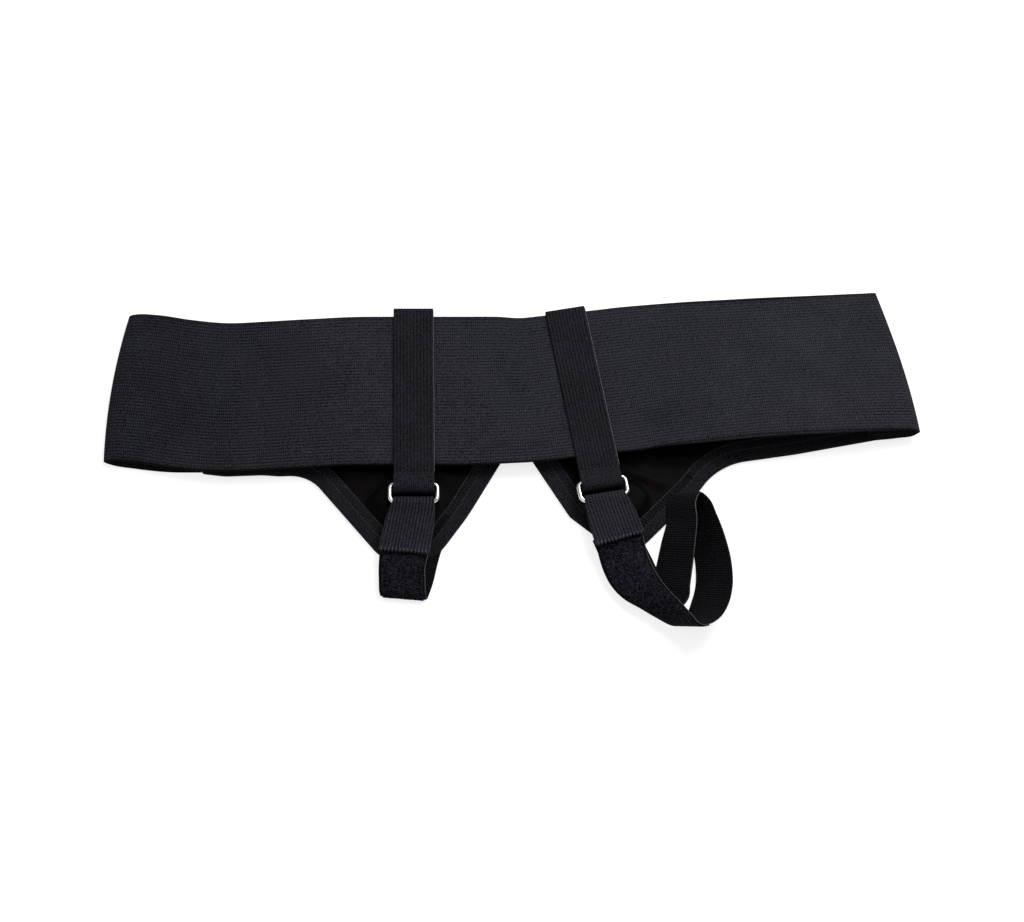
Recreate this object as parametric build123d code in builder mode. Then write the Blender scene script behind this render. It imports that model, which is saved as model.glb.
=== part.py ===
"""Double groin-support belt lying flat: elastic waistband, two padded front panels, two leg straps.

Millimetres, +Z up. The belt lies on z = 0 with its long direction along X. The wearer's back
side of the elastic faces up, and the two padded panels lie under it with their body side up.
"""
import os
from math import cos, radians, sin

from build123d import *

os.makedirs("parts", exist_ok=True)

# Webbings and cloths, as they are cut
elastic_width = 103.0
elastic_thick = 1.5
webbing_width = 25.4
webbing_thick = 1.5
strap_width = 29.0
strap_thick = 1.3
pile_width = 26.0
pile_thick = 0.9
pile_ease = 0.1
hook_thick = 0.8
shell_thick = 1.2
lining_thick = 1.0
foam_thick = 5.0
foam_rounding = 3.5
binding_width = 14.0
binding_thick = 0.6
binding_wall = 1.5
bridge_thick = 1.5
bridge_height = 45.0
bridge_middle = 48.0
bridge_lap = 9.0
thread = 0.4

# Clearances
cloth_gap = 0.3
webbing_gap = 0.3
bar_gap = 0.3
ring_side_gap = 0.5
seat_side_gap = 0.5

# Ring of the leg strap, bent from round wire
wire = 2.8
ring_height = 16.0
ring_corner = 6.0
ring_width = webbing_width + 2 * (ring_side_gap + wire)

# Slider: a webbing loop round the elastic, with the ring in its lower end
sewn_top = -3.5
sewn_bottom = -5.5
pocket_lead = 2.5
ring_pocket = 8.3
bar_offset = 5.4
left_slack = 3.7
right_slack = 1.4
left_drop = 1.3
right_drop = 5.8
right_skew = 3.1
right_pitch = 5.0
left_lean = -9.5
right_lean = 8.0
stitch_count = 9

# Strap end, folded back through the ring
left_tip_length = 25.5
right_tip_length = 18.0
tip_spread = 1.5
hook_lead = 6.0
fold_back = 7.0
wrap_slack = 1.2
head_lap = 0.3
tip_stitch_count = 12

# Closure at the left end of the belt, on the outer face of the left panel
tab_length = 32.0
tab_inset = 5.0
tab_corner = 6.0
hook_inset = 4.0
closure_hook_thick = 0.9
closure_end = -192.0
closure_middle = 43.0
lap_lead = 4.0
lap_ramp = 14.0

# Middle of the belt's footprint, which is the part's origin, from the drawing's zero
footprint_middle = (-0.2, -2.0, 0)

panel_stack = shell_thick + lining_thick
lap_rise = elastic_thick + closure_hook_thick + cloth_gap
slider_rise = elastic_thick / 2 + webbing_gap + webbing_thick / 2
pocket_rise = wire / 2 + bar_gap + webbing_thick / 2
wrap_rise = wire / 2 + bar_gap + strap_thick / 2


def direction(turn, rise):
    """Unit vector at an angle round Z and an angle above the table, both in degrees."""
    level = cos(radians(rise))
    return Vector(level * cos(radians(turn)), level * sin(radians(turn)), sin(radians(rise)))


def smoothed(stations, steps):
    """Stations of a band with Catmull-Rom ones between them."""
    rows = [stations[0], *stations, stations[-1]]
    result = []
    for a, b, c, d in zip(rows, rows[1:], rows[2:], rows[3:]):
        for step in range(steps):
            t = step / steps
            result.append(tuple(
                0.5 * (2 * q + (r - p) * t + (2 * p - 5 * q + 4 * r - s) * t**2
                       + (3 * q - p - 3 * r + s) * t**3)
                for p, q, r, s in zip(a, b, c, d)
            ))
    return result + [stations[-1]]


def across(stations):
    """Centres and width directions of stations (x, y, z, turn, rise)."""
    return [(Vector(x, y, z), direction(turn, rise)) for x, y, z, turn, rise in stations]


def section_planes(rows, lift=0.0):
    """A plane square to the band at each row, raised off the band's middle by lift."""
    planes = []
    for index, (centre, width_way) in enumerate(rows):
        before = rows[max(index - 1, 0)][0]
        after = rows[min(index + 1, len(rows) - 1)][0]
        ahead = after - before
        ahead = (ahead - width_way * ahead.dot(width_way)).normalized()
        plane = Plane(origin=centre, x_dir=width_way, z_dir=ahead)
        planes.append(Plane(origin=centre + plane.y_dir * lift, x_dir=width_way, z_dir=ahead))
    return planes


def band(name, rows, width, thick, lift=0.0):
    """A flat band through rows of (centre, width direction), written as its own node."""
    widths = width if isinstance(width, list) else [width] * len(rows)
    with BuildPart() as strip:
        for plane, local_width in zip(section_planes(rows, lift), widths):
            with BuildSketch(plane):
                Rectangle(local_width, thick)
        loft(ruled=True)
    return save(strip, name)


def save(builder, name):
    """Move a finished sub-part from the drawing's zero to the origin, and write its STEP file."""
    part = builder.part.moved(Location(footprint_middle).inverse())
    part.label = name
    export_step(part, f"parts/{name}.step")
    return part


# ---------------------------------------------------------------- waist elastic

# Left planar run for the left slider, right planar run for the right slider
left_level = 10.75
left_middle = 43.7
right_turn = 7.0
right_rise = 3.0
right_level = 9.2
right_start = Vector(14, 45.5, right_level)
right_run = 58.0

right_end = right_start + direction(right_turn, 0) * right_run
lower_leg = elastic_thick / 2
panel_leg = panel_stack + binding_thick + elastic_thick / 2 + 0.1
elastic_stations = smoothed([
    (closure_end, closure_middle, lower_leg, -90, 0),
    (-212, 43.3, lower_leg, -92.5, 0),
    (-230, 45.5, lower_leg, -95.5, 0),
    (-242.4, 47.6, 1.1, -97, 0),
    (-246.8, 48.6, 2.9, -97, 0),
    (-242.4, 48.6, 4.8, -97, 0),
    (-230, 47.7, 5.8, -96.5, 0),
    (-206, 43.4, 7.4, -94.5, 0),
    (-181, 40.6, 8.9, -91, 0),
    (-156, 41.1, 9.9, -90, 0),
    (-120, 43.0, 10.6, -90, 0),
], 3)[:-1] + [
    (-100, left_middle, left_level, -90, 0),
    (-27, left_middle, left_level, -90, 0),
    (-7, 44.5, 10.2, -87, 1.2),
    (right_start.X, right_start.Y, right_level, right_turn - 90, right_rise),
    (right_end.X, right_end.Y, right_level, right_turn - 90, right_rise),
] + smoothed([
    (90, 54.9, 9.8, -84, 5),
    (110, 57.1, 10.7, -85, 7),
    (144, 59.7, 11.5, -86, 8.5),
    (184, 62.2, 11.4, -85, 8.5),
    (212, 63.9, 10.4, -81.5, 7.5),
    (231, 64.9, 9.0, -79, 5.5),
    (239.8, 65.5, 7.4, -78, 4),
    (242, 65.7, 5.8, -78, 2.5),
    (239.4, 65.3, 4.3, -78.3, 0.8),
    (231, 64.4, panel_leg, -79, 0),
    (214, 62.6, panel_leg, -81, 0),
], 3)
band("waist_elastic", across(elastic_stations), elastic_width, elastic_thick)

# ---------------------------------------------------------------- closure tab at the left end

tab_start = closure_end + cloth_gap
tab_height = elastic_width - 2 * tab_inset
with BuildPart() as closure_tab:
    with BuildSketch(Plane.XY):
        with Locations((tab_start + tab_length / 2, closure_middle)):
            RectangleRounded(tab_length, tab_height, tab_corner)
        with Locations((tab_start + tab_length / 4, closure_middle)):
            Rectangle(tab_length / 2, tab_height)
    extrude(amount=elastic_thick)
save(closure_tab, "closure_tab")

with BuildPart() as closure_hook:
    with BuildSketch(Plane.XY.offset(elastic_thick)):
        with Locations((tab_start + tab_length / 2, closure_middle)):
            RectangleRounded(tab_length - 2 * hook_inset, tab_height - 2 * hook_inset, hook_inset)
    extrude(amount=closure_hook_thick)
save(closure_hook, "closure_hook")

# ---------------------------------------------------------------- padded panels

# Corners of each panel, round the outline from its outer top corner, with the radius of each
left_outline = [
    (-189, 86, 3), (-189, -9.8, 4), (-127.5, -9.3, 26), (-79, -67.5, 18),
    (-47.5, -67.5, 20), (-3.5, 4, 8), (-9, 86, 3),
]
right_outline = [
    (11, 88, 3), (10, 3, 8), (35.5, -39.5, 14), (59, -60.5, 14),
    (84, -61.5, 18), (128, -3.5, 40), (175, 3.6, 200), (247.5, 17.6, 4),
    (229, 104, 4), (110, 94, 60),
]
left_foam_outline = [(-99, -18, 12), (-73, -49, 9), (-57.5, -49, 10), (-36, -18, 12)]
right_foam_outline = [(41, -17.5, 10), (62.5, -42.5, 9), (78, -42.5, 9), (98, -16.5, 12)]


def outline(corners, inset=0.0):
    """Face of a rounded polygon, inset from its edge."""
    with BuildSketch() as shape:
        with BuildLine():
            Polyline(*[(x, y) for x, y, _ in corners], close=True)
        make_face()
        for x, y, radius in corners:
            nearest = shape.vertices().sort_by_distance((x, y, 0))[0]
            fillet(nearest, radius)
        if inset:
            offset(amount=-inset, mode=Mode.REPLACE)
    return shape.sketch


def slab(shape, bottom, top, lapped):
    """A cloth layer of the shape. Where it is lapped, its left end steps up over the closure."""
    box = shape.bounding_box()
    start, end = box.min.X - 1, box.max.X + 1
    ramp_top = closure_end + tab_length + lap_lead
    steps = [(start, 0), (end, 0)]
    if lapped:
        steps = [(start, lap_rise), (ramp_top, lap_rise), (ramp_top + lap_ramp, 0), (end, 0)]
    lower = [(x, z + bottom) for x, z in steps]
    upper = [(x, z + top) for x, z in reversed(steps)]
    with BuildPart() as layer:
        with BuildSketch(Plane.XZ.offset(-box.max.Y - 1)):
            with BuildLine():
                Polyline(*lower, *upper, close=True)
            make_face()
        extrude(amount=box.size.Y + 2)
        with BuildSketch(Plane.XY.offset(-1)):
            add(shape)
        extrude(amount=20, mode=Mode.INTERSECT)
    return layer.part


def anchor_notch(rows):
    """The shallow seat in the underside of a panel tip that the sewn strap end lies in."""
    with BuildPart() as notch:
        for plane in section_planes(rows):
            with BuildSketch(plane):
                Rectangle(strap_width + 2 * seat_side_gap, strap_thick + 4 * cloth_gap)
        loft(ruled=True)
    return notch.part


def padded_panel(side, corners, foam_corners, strap_end, lapped):
    """Shell, foam, lining and edge binding of one front panel."""
    cloth = outline(corners, binding_wall)
    seat = anchor_notch(strap_end)

    with BuildPart() as shell:
        add(slab(cloth, 0, shell_thick, lapped))
        add(seat, mode=Mode.SUBTRACT)
    save(shell, f"{side}_panel_shell")

    with BuildPart() as foam:
        with BuildSketch(Plane.XY.offset(shell_thick)):
            add(outline(foam_corners))
        extrude(amount=foam_thick)
        fillet(foam.edges().group_by(Axis.Z)[-1], foam_rounding)
        add(seat, mode=Mode.SUBTRACT)
    save(foam, f"{side}_pad_foam")

    with BuildPart() as lining:
        add(slab(cloth, shell_thick, panel_stack, lapped))
        with BuildSketch(Plane.XY.offset(shell_thick)):
            add(outline(foam_corners, -lining_thick))
        extrude(amount=foam_thick + lining_thick)
        fillet(lining.faces().sort_by(Axis.Z)[-1].edges(), foam_rounding + lining_thick)
        with BuildSketch(Plane.XY.offset(shell_thick)):
            add(outline(foam_corners))
        extrude(amount=foam_thick, mode=Mode.SUBTRACT)
        add(seat, mode=Mode.SUBTRACT)
    save(lining, f"{side}_panel_lining")

    with BuildPart() as binding:
        add(slab(outline(corners), 0, panel_stack + binding_thick, lapped))
        add(slab(cloth, -1, panel_stack, lapped), mode=Mode.SUBTRACT)
        add(slab(outline(corners, binding_width), -1, 2 * panel_stack, lapped), mode=Mode.SUBTRACT)
        add(seat, mode=Mode.SUBTRACT)
    save(binding, f"{side}_panel_binding")


# The sewn end of each leg strap under its panel tip: (x, y, z, turn, rise) of the strap's middle
seat_level = strap_thick / 2 + cloth_gap
left_anchor = [(-55.0, -50.0, seat_level, -14, 0), (-58.8, -65.0, seat_level, -14, 0)]
right_anchor = [(62.6, -48.5, seat_level, 22, 0), (69.0, -64.0, seat_level, 20, 0)]


def seat_rows(anchor):
    """Rows for the notch, which runs past the panel's edge."""
    inner, outer = across(anchor)
    reach = (outer[0] - inner[0]).normalized() * 12
    drop = Vector(0, 0, cloth_gap)
    return [(inner[0] - reach * 0.1 - drop, inner[1]), (outer[0] + reach - drop, outer[1])]


padded_panel("left", left_outline, left_foam_outline, seat_rows(left_anchor), True)
padded_panel("right", right_outline, right_foam_outline, seat_rows(right_anchor), False)

left_inner_edge = -9.0
right_inner_edge = 11.0
with BuildPart() as centre_bridge:
    with BuildSketch(Plane.XY.offset(panel_stack + binding_thick)):
        with Locations(((left_inner_edge + right_inner_edge) / 2, bridge_middle)):
            Rectangle(right_inner_edge - left_inner_edge + 2 * bridge_lap, bridge_height)
    extrude(amount=bridge_thick)
save(centre_bridge, "centre_bridge")

# ---------------------------------------------------------------- sliders, rings and strap ends

bar_spacing = ring_height - wire
bar_place = sewn_bottom - bar_offset
pile_lift = -(strap_thick + pile_thick) / 2 - pile_ease
hinge_gap = cloth_gap
cut_gap = 0.4


def point(plane, u, s, h):
    """A point from across, along and height in a local plane."""
    return plane.origin + plane.x_dir * u + plane.y_dir * s + plane.z_dir * h


def local_direction(plane, turn):
    """A direction in a local plane, turned from its x direction."""
    return plane.x_dir * cos(radians(turn)) + plane.y_dir * sin(radians(turn))


def sleeve(start, end, rise, seam):
    """Section of webbing round a flat space, from a seam on the left or right to a round fold."""
    fold = end + rise * (1 if end > seam else -1)
    with BuildSketch() as middle:
        with BuildLine():
            Polyline((end, rise), (start, rise), (seam, webbing_thick / 2),
                     (seam, -webbing_thick / 2), (start, -rise), (end, -rise))
            ThreePointArc((end, -rise), (fold, 0), (end, rise))
        make_face()
    with BuildSketch() as section:
        add(offset(middle.sketch, webbing_thick / 2, mode=Mode.PRIVATE))
        add(offset(middle.sketch, -webbing_thick / 2, mode=Mode.PRIVATE), mode=Mode.SUBTRACT)
    return section.sketch


def slider(side, plane, slack):
    """Webbing loop round the elastic, pinched by a seam below it, with a pocket for the ring."""
    top = elastic_width + slack - slider_rise + webbing_thick / 2
    pocket_top = sewn_bottom - pocket_lead
    pocket_end = sewn_bottom - ring_pocket
    profile = Plane(origin=plane.origin, x_dir=plane.y_dir, z_dir=plane.x_dir)
    with BuildPart() as loop:
        with BuildSketch(profile):
            with Locations(((sewn_top + sewn_bottom) / 2, 0)):
                Rectangle(sewn_top - sewn_bottom + webbing_thick, 2 * webbing_thick)
            add(sleeve(-1, top, slider_rise, sewn_top))
            add(sleeve(pocket_top, pocket_end, pocket_rise, sewn_bottom))
        extrude(amount=webbing_width / 2, both=True)
    save(loop, f"{side}_slider_loop")

    seam = point(plane, 0, (sewn_top + sewn_bottom) / 2, webbing_thick)
    pitch = webbing_width / stitch_count
    with BuildPart() as stitches:
        with BuildSketch(Plane(origin=seam, x_dir=plane.x_dir, z_dir=plane.z_dir)):
            with GridLocations(pitch, 1, stitch_count, 1):
                Rectangle(pitch * 0.65, thread * 1.5)
        extrude(amount=thread)
    save(stitches, f"{side}_slider_stitches")


def ring(side, plane):
    """Rounded wire ring in its own plane, with its top bar along the plane's x axis."""
    centre = point(plane, 0, -bar_spacing / 2, 0)
    with BuildSketch(Plane(origin=centre, x_dir=plane.x_dir, z_dir=plane.z_dir)) as shape:
        RectangleRounded(ring_width - wire, ring_height - wire, ring_corner - wire / 2)
    path = shape.sketch.face().outer_wire()
    with BuildPart() as part:
        with BuildSketch(Plane(origin=path @ 0, z_dir=path % 0)):
            Circle(wire / 2)
        sweep(path=path)
    save(part, f"{side}_ring")


def strap_end(side, plane, lean, travel, tip_length):
    """Strap end: under the ring's lower bar, round it, and the end folded back on top."""
    low = -wrap_rise
    tip_level = low + strap_thick / 2 + pile_thick + hook_thick + cloth_gap
    over = bar_spacing

    def row(back, height, share=1.0):
        """A row at a distance below the lower bar, leaning by a share of the full lean."""
        aside = max(back, 0) * sin(radians(lean))
        down = back * cos(radians(lean))
        way = local_direction(plane, lean * max(share, 0))
        return (point(plane, aside, -over - down, height), way)

    def spread(back):
        """Width of the strap, which is gathered in the ring and opens out below it."""
        return webbing_width + (strap_width - webbing_width) * min(max(back / 14, 0), 1)

    tip_start = fold_back + hinge_gap
    tip_end = tip_start + tip_length
    head_length = tip_end + head_lap

    # The head's far end is cut along the slider's travel, so that the strap can slide past it
    backs = [18, 12, 6, 2, -wrap_slack]
    cut_width = strap_width / travel.dot(local_direction(plane, lean))
    rows = [(row(head_length, low)[0], travel)]
    rows += [row(back, low, min(back / 12, 1)) for back in backs]
    widths = [cut_width] + [spread(back) for back in backs]
    for angle in (-60, -30, 0, 30, 60):
        swing = radians(angle)
        forward = wrap_slack - over + wrap_rise * cos(swing)
        rows.append((point(plane, 0, forward, wrap_rise * sin(swing)), plane.x_dir))
        widths.append(webbing_width)
    for back, height in ((-wrap_slack, wrap_rise), (2, wrap_rise), (fold_back, tip_level + strap_thick / 2)):
        rows.append(row(back, height, min(back / 12, 1)))
        widths.append(spread(back))
    band(f"{side}_strap_head", rows, widths, strap_thick)

    pile_rows = [rows[0], row(18, low), row(fold_back + 2, low)]
    pile_widths = [cut_width - strap_width + pile_width, pile_width, pile_width]
    band(f"{side}_head_pile", pile_rows, pile_widths, pile_thick, pile_lift)

    level = tip_level + strap_thick / 2
    tip_rows = [row(tip_start, level, 0.6), row(tip_start + 8, level), row(tip_end, level)]
    tip_widths = [spread(tip_start), strap_width, strap_width + tip_spread]
    band(f"{side}_strap_tip", tip_rows, tip_widths, strap_thick)

    hook_rows = [row(tip_start + hook_lead, tip_level - hook_thick / 2),
                 row(tip_end - 1, tip_level - hook_thick / 2)]
    band(f"{side}_tip_hook", hook_rows, pile_width, hook_thick)

    edge, edge_way = row(tip_end - 1.2, tip_level + strap_thick)
    pitch = strap_width / tip_stitch_count
    with BuildPart() as stitches:
        with BuildSketch(Plane(origin=edge, x_dir=edge_way, z_dir=plane.z_dir)):
            with GridLocations(pitch, 1, tip_stitch_count, 1):
                Rectangle(pitch * 0.45, 2.2)
        extrude(amount=thread)
    save(stitches, f"{side}_tip_stitches")

    return [(row(head_length + cut_gap, low)[0], travel)], cut_width


def leg_strap(side, stations, last_row, cut_width, pile_from):
    """The leg strap from its sewn end to the head, and the pile tape on its last stretch."""
    rows = across(stations) + last_row
    widths = [strap_width] * len(stations) + [cut_width]
    band(f"{side}_leg_strap", rows, widths, strap_thick)
    pile_widths = [width - strap_width + pile_width for width in widths[pile_from:]]
    band(f"{side}_strap_pile", rows[pile_from:], pile_widths, pile_thick, pile_lift)


def pitched(plane, place, angle):
    """The ring's plane, at a place along the slider, tipped down away from the belt."""
    tip = radians(angle)
    along = plane.y_dir * cos(tip) + plane.z_dir * sin(tip)
    return Plane(origin=point(plane, 0, place, 0), x_dir=plane.x_dir,
                 z_dir=plane.x_dir.cross(along))


left_way = Vector(1, 0, 0)
left_seat = left_middle - elastic_width / 2 - left_drop
left_frame = Plane(origin=(-60.2, left_seat, left_level), x_dir=left_way, z_dir=(0, 0, 1))

right_way = direction(right_turn, 0)
right_up = -direction(right_turn - 90, right_rise)
skew = radians(right_skew)
slider_up = right_up * cos(skew) - right_way * sin(skew)
right_cross = right_start + right_way * (right_run / 2)
right_frame = Plane(
    origin=right_cross - slider_up * (elastic_width / 2 / cos(skew) + right_drop),
    x_dir=right_way * cos(skew) + right_up * sin(skew), z_dir=right_way.cross(right_up))

left_ring_plane = pitched(left_frame, bar_place, 0)
right_ring_plane = pitched(right_frame, bar_place, right_pitch)

slider("left", left_frame, left_slack + left_drop)
slider("right", right_frame, right_slack + right_drop)
ring("left", left_ring_plane)
ring("right", right_ring_plane)
left_last, left_cut = strap_end("left", left_ring_plane, left_lean, left_way, left_tip_length)
right_last, right_cut = strap_end("right", right_ring_plane, right_lean, right_way, right_tip_length)

# ---------------------------------------------------------------- leg straps

strap_steps = 3

# Left strap: from its seam under the panel tip down, round a fold on the table, and back up
left_strap = left_anchor + smoothed([
    (-62.0, -79.5, 0.7, -12, 0),
    (-64.2, -88.6, 0.75, -8, 0),
    (-64.9, -91.2, 2.3, -5, 0),
    (-65.3, -89.6, 4.0, -3, 0),
    (-66.0, -82.5, 6.0, -1, 0),
    (-66.5, -75.0, 7.6, 0, 0),
], strap_steps)
leg_strap("left", left_strap, left_last, left_cut, len(left_anchor) + strap_steps * 2)

# Right strap: a banked loop, nested turns at the bottom and one fold at the top
right_strap = right_anchor + smoothed([
    (71.6, -69.5, 0.95, 17, 0),
    (75.2, -78.9, 2.1, 12, 5),
    (80.2, -87.8, 4.7, 2, 16),
    (85.0, -95.3, 7.8, -10, 29),
    (89.6, -98.1, 9.5, -18, 38),
    (93.2, -93.6, 11.0, -22, 44),
    (94.5, -84.8, 11.1, -23, 45),
    (97.6, -72.0, 11.1, -24, 45),
    (100.8, -59.7, 14.1, -24, 45),
    (104.0, -46.4, 14.8, -24, 45),
    (104.9, -33.2, 14.6, -24, 45),
    (107.0, -28.8, 15.0, -24, 44),
    (110.8, -31.7, 14.2, -23, 41),
    (115.6, -41.4, 11.2, -21, 39),
    (120.6, -57.2, 9.9, -20, 39),
    (122.8, -73.6, 9.9, -20, 39),
    (122.0, -88.2, 10.1, -21, 40),
    (119.8, -98.9, 10.7, -23, 43),
    (117.6, -108.5, 11.7, -28, 49),
    (113.2, -113.9, 12.5, -31, 54),
    (106.8, -114.3, 13.6, -27, 51),
    (97.9, -110.0, 14.3, -16, 42),
    (89.4, -102.1, 13.6, -6, 32),
    (81.6, -93.3, 11.8, 4, 22),
    (75.2, -83.2, 9.5, 11, 12),
    (70.4, -72.6, 8.2, 15, 5),
], strap_steps)
leg_strap("right", right_strap, right_last, right_cut, len(right_anchor) + strap_steps * 19)
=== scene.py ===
from math import cos, exp, hypot, pi, radians, sin, tan

import bpy
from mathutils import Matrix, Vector, noise
from mathutils.bvhtree import BVHTree
from mathutils.geometry import delaunay_2d_cdt


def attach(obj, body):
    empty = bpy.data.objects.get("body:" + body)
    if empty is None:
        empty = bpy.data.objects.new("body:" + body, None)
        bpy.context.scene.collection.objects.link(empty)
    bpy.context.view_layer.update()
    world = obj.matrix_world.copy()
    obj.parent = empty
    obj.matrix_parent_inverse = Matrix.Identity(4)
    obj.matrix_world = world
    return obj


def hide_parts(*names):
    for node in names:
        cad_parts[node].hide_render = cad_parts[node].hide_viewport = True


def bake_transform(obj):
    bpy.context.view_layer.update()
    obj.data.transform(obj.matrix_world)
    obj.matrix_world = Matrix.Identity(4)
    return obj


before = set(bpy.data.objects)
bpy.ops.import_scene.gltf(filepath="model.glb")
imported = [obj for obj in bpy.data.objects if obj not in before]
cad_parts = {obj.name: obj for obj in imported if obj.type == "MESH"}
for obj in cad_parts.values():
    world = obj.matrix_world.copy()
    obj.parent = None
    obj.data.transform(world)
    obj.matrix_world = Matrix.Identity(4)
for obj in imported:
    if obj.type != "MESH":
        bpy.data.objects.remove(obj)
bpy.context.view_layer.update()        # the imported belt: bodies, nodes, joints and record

# The belt is drawn in millimetres from the middle of its lower edge, and laid into the frame here
layout = {"zero": (0.2, 2.0, 0.0), "unit": 0.001, "lowest": 0.8}       # lowest: of a cloth's middle


def place(x, y, z=0.0):
    zeroX, zeroY, zeroZ = layout["zero"]
    return Vector((x + zeroX, y + zeroY, z + zeroZ)) * layout["unit"]


def eased(t):
    t = min(max(t, 0.0), 1.0)
    return t * t * (3 - 2 * t)


def heading(turn, rise=0.0):
    level = cos(radians(rise))
    return Vector((level * cos(radians(turn)), level * sin(radians(turn)), sin(radians(rise))))


def addObject(name, data):
    made = bpy.data.objects.new(name, data)
    bpy.context.scene.collection.objects.link(made)
    return made


# Camera, lights and table

shot = {"aim": place(0, 0), "elevation": 66, "distance": 1.6, "lens": 90.7, "sensor": 36}


def setCamera():
    lens = bpy.data.cameras.new("shotCamera")
    lens.lens = shot["lens"]
    lens.sensor_width = shot["sensor"]
    holder = addObject("shotCamera", lens)
    tilt = radians(shot["elevation"])
    holder.location = shot["aim"] + Vector((0, -cos(tilt), sin(tilt))) * shot["distance"]
    holder.rotation_euler = (pi / 2 - tilt, 0, 0)
    bpy.context.scene.camera = holder


setCamera()
print("camera set")


class Signal:
    # one output in a material's node tree, which takes part in sums
    def __init__(self, finish, socket):
        self.finish = finish
        self.socket = socket

    def math(self, operation, *others):
        values = dict(enumerate([self, *others]))
        return self.finish.node("ShaderNodeMath", {"operation": operation}, values)

    def __add__(self, other):
        return self.math("ADD", other)

    __radd__ = __add__

    def __sub__(self, other):
        return self.math("SUBTRACT", other)

    def __rsub__(self, other):
        return self.math("MULTIPLY", -1.0) + other

    def __mul__(self, other):
        return self.math("MULTIPLY", other)

    __rmul__ = __mul__

    def __truediv__(self, other):
        return self.math("DIVIDE", other)

    def bounded(self):
        return self.math("MAXIMUM", 0.0).math("MINIMUM", 1.0)

    def wave(self):
        # a hump from 0 to 1 and back for every whole number that passes
        return (self.math("FRACT") * pi).math("SINE")


class Finish:
    # one material and its nodes
    def __init__(self, name):
        self.material = bpy.data.materials.new(name)
        self.material.use_nodes = True
        self.tree = self.material.node_tree
        self.tree.nodes.clear()

    def node(self, kind, settings=None, inputs=None, output=0):
        made = self.tree.nodes.new(kind)
        for key, value in (settings or {}).items():
            setattr(made, key, value)
        for key, value in (inputs or {}).items():
            if isinstance(value, Signal):
                self.tree.links.new(value.socket, made.inputs[key])
            else:
                made.inputs[key].default_value = value
        return Signal(self, made.outputs[output]) if made.outputs else None

    def weave(self):
        # across and along the cloth, in millimetres
        spot = self.node("ShaderNodeUVMap", {"uv_map": "weave"})
        across = self.node("ShaderNodeSeparateXYZ", inputs={0: spot})
        along = Signal(self, across.socket.node.outputs[1])
        return across * 1000.0, along * 1000.0

    def grain(self, grainSize, detail=2.0):
        # smooth noise in the object's own space, with its grain in millimetres
        spot = self.node("ShaderNodeTexCoord", output=3)
        return self.node("ShaderNodeTexNoise", {}, {"Vector": spot, "Scale": 1000.0 / grainSize, "Detail": detail})

    def specks(self, spacing, size):
        # scattered flecks, 1 inside a fleck
        spot = self.node("ShaderNodeTexCoord", output=3)
        near = self.node("ShaderNodeTexVoronoi", {}, {"Vector": spot, "Scale": 1000.0 / spacing})
        return near.math("LESS_THAN", size / spacing)

    def over(self, amount, base, high):
        return self.node("ShaderNodeMix", {"data_type": "RGBA"}, {0: amount, 6: base, 7: (*high, 1)}, 2)

    def tint(self, amount, low, high):
        return self.over(amount, (*low, 1), high)

    def surface(self, colour, height, depth, specular, roughness=0.9, sheen=0.0, metal=0.0):
        bump = self.node("ShaderNodeBump", {}, {"Height": height, "Distance": depth, "Strength": 1.0})
        shader = self.node("ShaderNodeBsdfPrincipled", {}, {
            "Base Color": colour, "Roughness": roughness, "Sheen Weight": sheen, "Sheen Roughness": 0.5,
            "Specular IOR Level": specular, "Metallic": metal, "Normal": bump})
        self.node("ShaderNodeOutputMaterial", {}, {0: shader})
        return self.material


stage = {"size": 6.0, "drop": 0.0004, "glow": 0.74, "paper": 0.62, "room": 0.28}
lamps = {
    "keyLamp": {"spot": (0.42, 0.56, 0.92), "size": 0.7, "power": 9.6},
    "fillLamp": {"spot": (-1.1, -0.6, 1.7), "size": 1.6, "power": 3.5},
}


def setStage():
    mesh = bpy.data.meshes.new("tableTop")
    half = stage["size"] / 2
    corners = [(-half, -half), (half, -half), (half, half), (-half, half)]
    mesh.from_pydata([(x, y, -stage["drop"]) for x, y in corners], [], [(0, 1, 2, 3)])
    addObject("tableTop", mesh)
    paper = Finish("whitePaper")
    seen = paper.node("ShaderNodeLightPath")
    rays = seen.socket.node.outputs
    for name in ("Is Glossy Ray", "Is Transmission Ray"):
        seen = seen.math("MAXIMUM", Signal(paper, rays[name]))
    matt = paper.node("ShaderNodeBsdfDiffuse", {}, {"Color": (stage["paper"],) * 3 + (1,)})
    glow = paper.node("ShaderNodeEmission", {}, {"Color": (1, 1, 1, 1), "Strength": stage["glow"]})
    lit = paper.node("ShaderNodeAddShader", {}, {0: matt, 1: glow})
    both = paper.node("ShaderNodeMixShader", {}, {0: seen, 1: matt, 2: lit})
    paper.node("ShaderNodeOutputMaterial", {}, {0: both})
    mesh.materials.append(paper.material)

    world = bpy.data.worlds.new("softRoom")
    world.use_nodes = True
    bpy.context.scene.world = world
    room = world.node_tree.nodes["Background"]
    room.inputs["Color"].default_value = (1, 1, 1, 1)
    room.inputs["Strength"].default_value = stage["room"]

    for name, lamp in lamps.items():
        light = bpy.data.lights.new(name, "AREA")
        light.energy = lamp["power"]
        light.size = lamp["size"]
        holder = addObject(name, light)
        holder.location = lamp["spot"]
        holder.rotation_euler = (-Vector(lamp["spot"])).to_track_quat("-Z", "Y").to_euler()

    bpy.context.scene.view_settings.view_transform = "Standard"


setStage()
print("stage set")


# Cloth finishes. Pitches, grains and depths of weave are in millimetres, and bump depths in metres

def blackish(level, cast=1.3):
    # a black dye with a slight blue cast
    return (level, level * 1.03, level * cast)


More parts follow.
